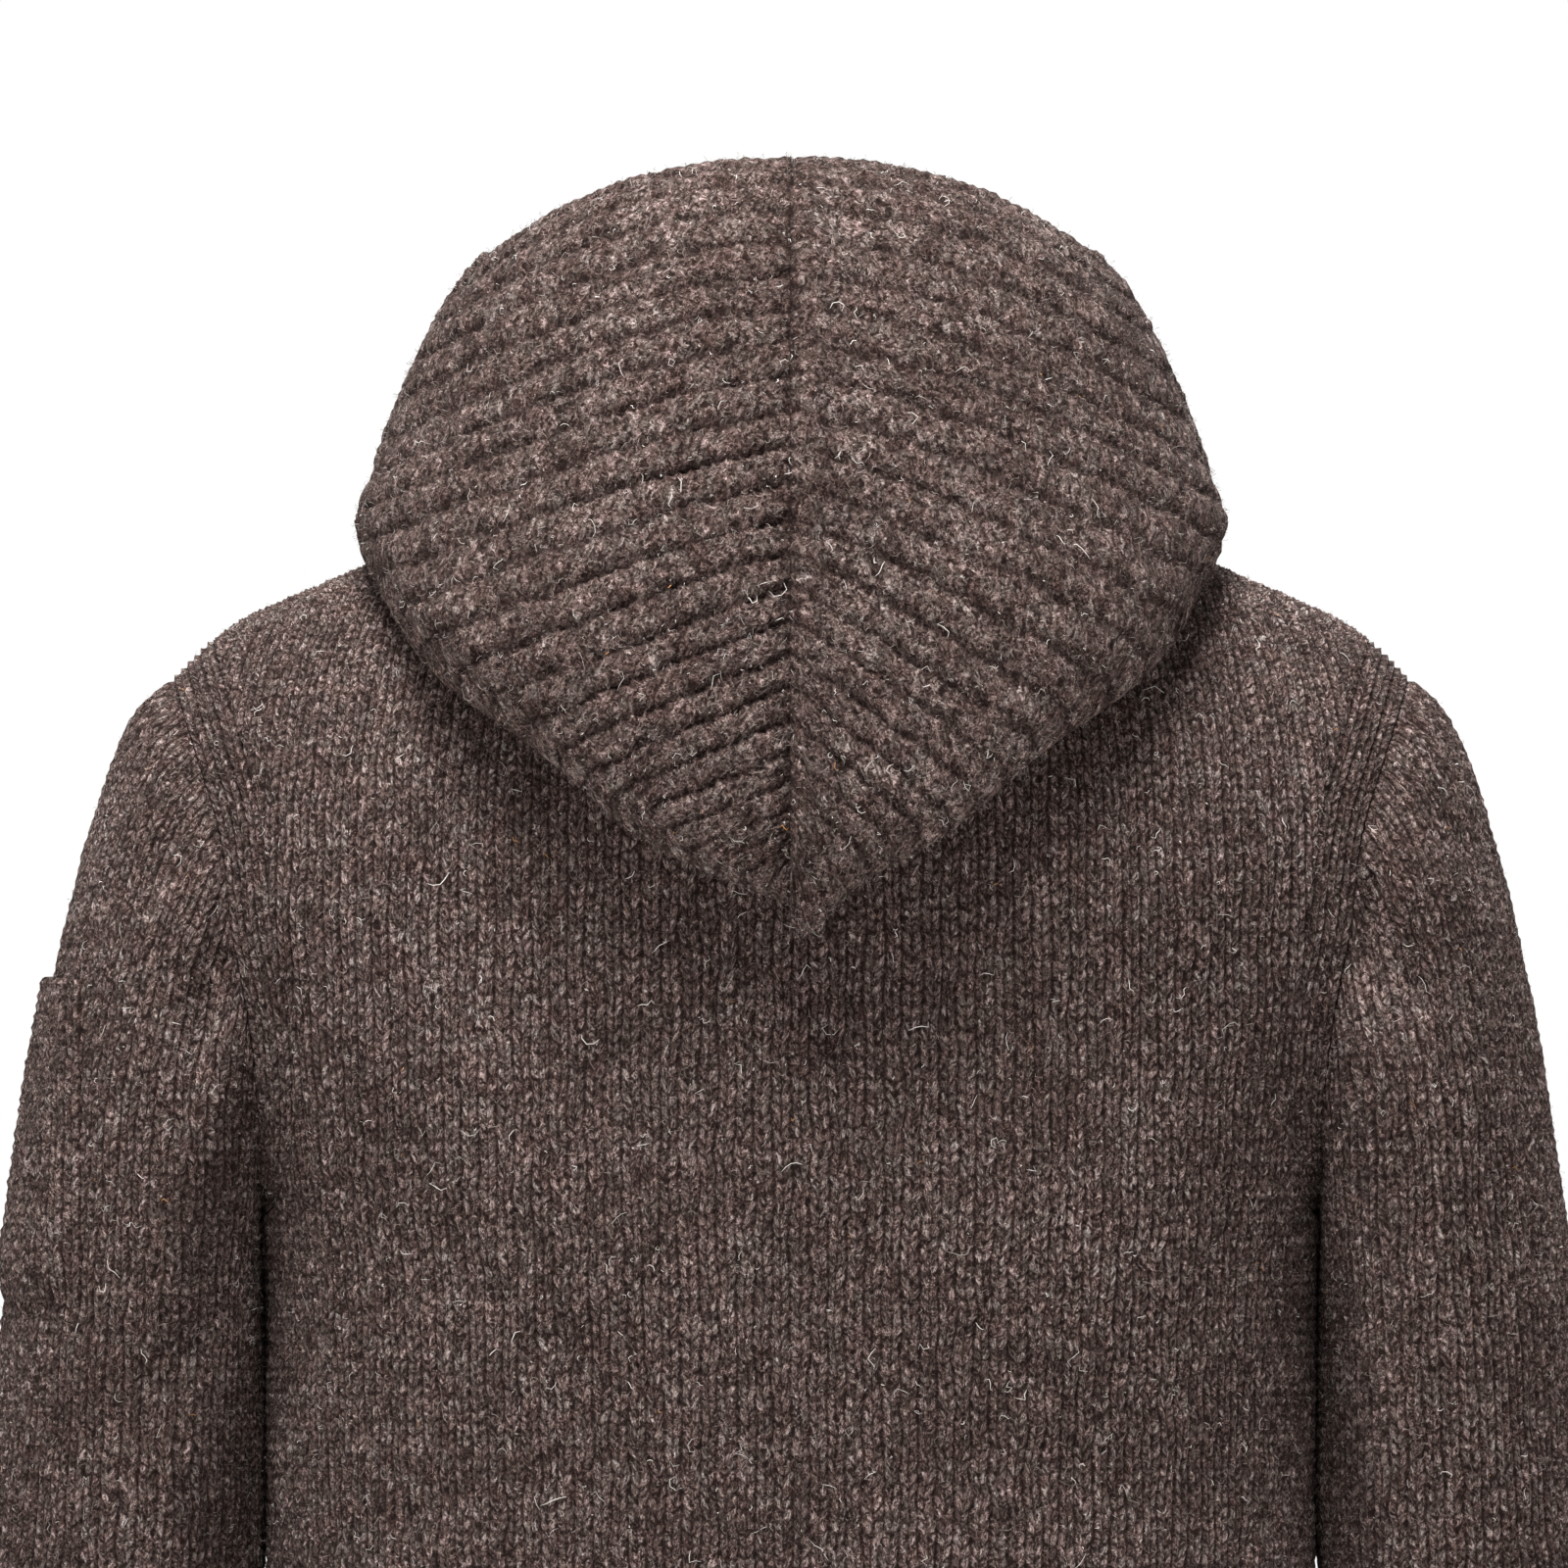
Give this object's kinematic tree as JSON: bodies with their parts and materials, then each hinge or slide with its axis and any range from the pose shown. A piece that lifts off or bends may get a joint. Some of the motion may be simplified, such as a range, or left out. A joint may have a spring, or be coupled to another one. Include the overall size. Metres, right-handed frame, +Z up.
{
  "type": "hooded cardigan",
  "caption": "Chunky wool hooded cardigan, worn shape, hood down in a ribbed bag at the back, buttoned front, ribbed cuffs and hem, patch pocket on the left sleeve.",
  "frame": {"origin": "middle of the neck opening, at the height where the hood meets the shoulders", "axes": "+Z up, +X towards the wearer's left, +Y towards the back; the buttoned front faces -Y"},
  "size_m": [0.632, 0.2963, 0.8289],
  "materials": {
    "plain_knit": "heathered dark brown wool in a chunky plain knit",
    "ribbed_knit": "the same wool in ribs",
    "hood_rib_knit": "the same wool in broad ribs, brushed to a soft nap",
    "horn": "dark horn or horn-like resin, softly polished"
  },
  "bodies": {
    "root": {"back": "plain_knit", "front_left": "plain_knit", "front_right": "plain_knit", "hem_back": "ribbed_knit", "hem_front_left": "ribbed_knit", "hem_front_right": "ribbed_knit", "sleeve_left": "plain_knit", "sleeve_right": "plain_knit", "cuff_left": "ribbed_knit", "cuff_right": "ribbed_knit", "sleeve_pocket": "plain_knit", "band_left": "ribbed_knit", "band_right": "ribbed_knit", "hood_left": "hood_rib_knit", "hood_right": "hood_rib_knit", "button_1": "horn", "button_2": "horn", "button_3": "horn", "button_4": "horn", "button_5": "horn", "button_6": "horn"}
  },
  "joints": []
}
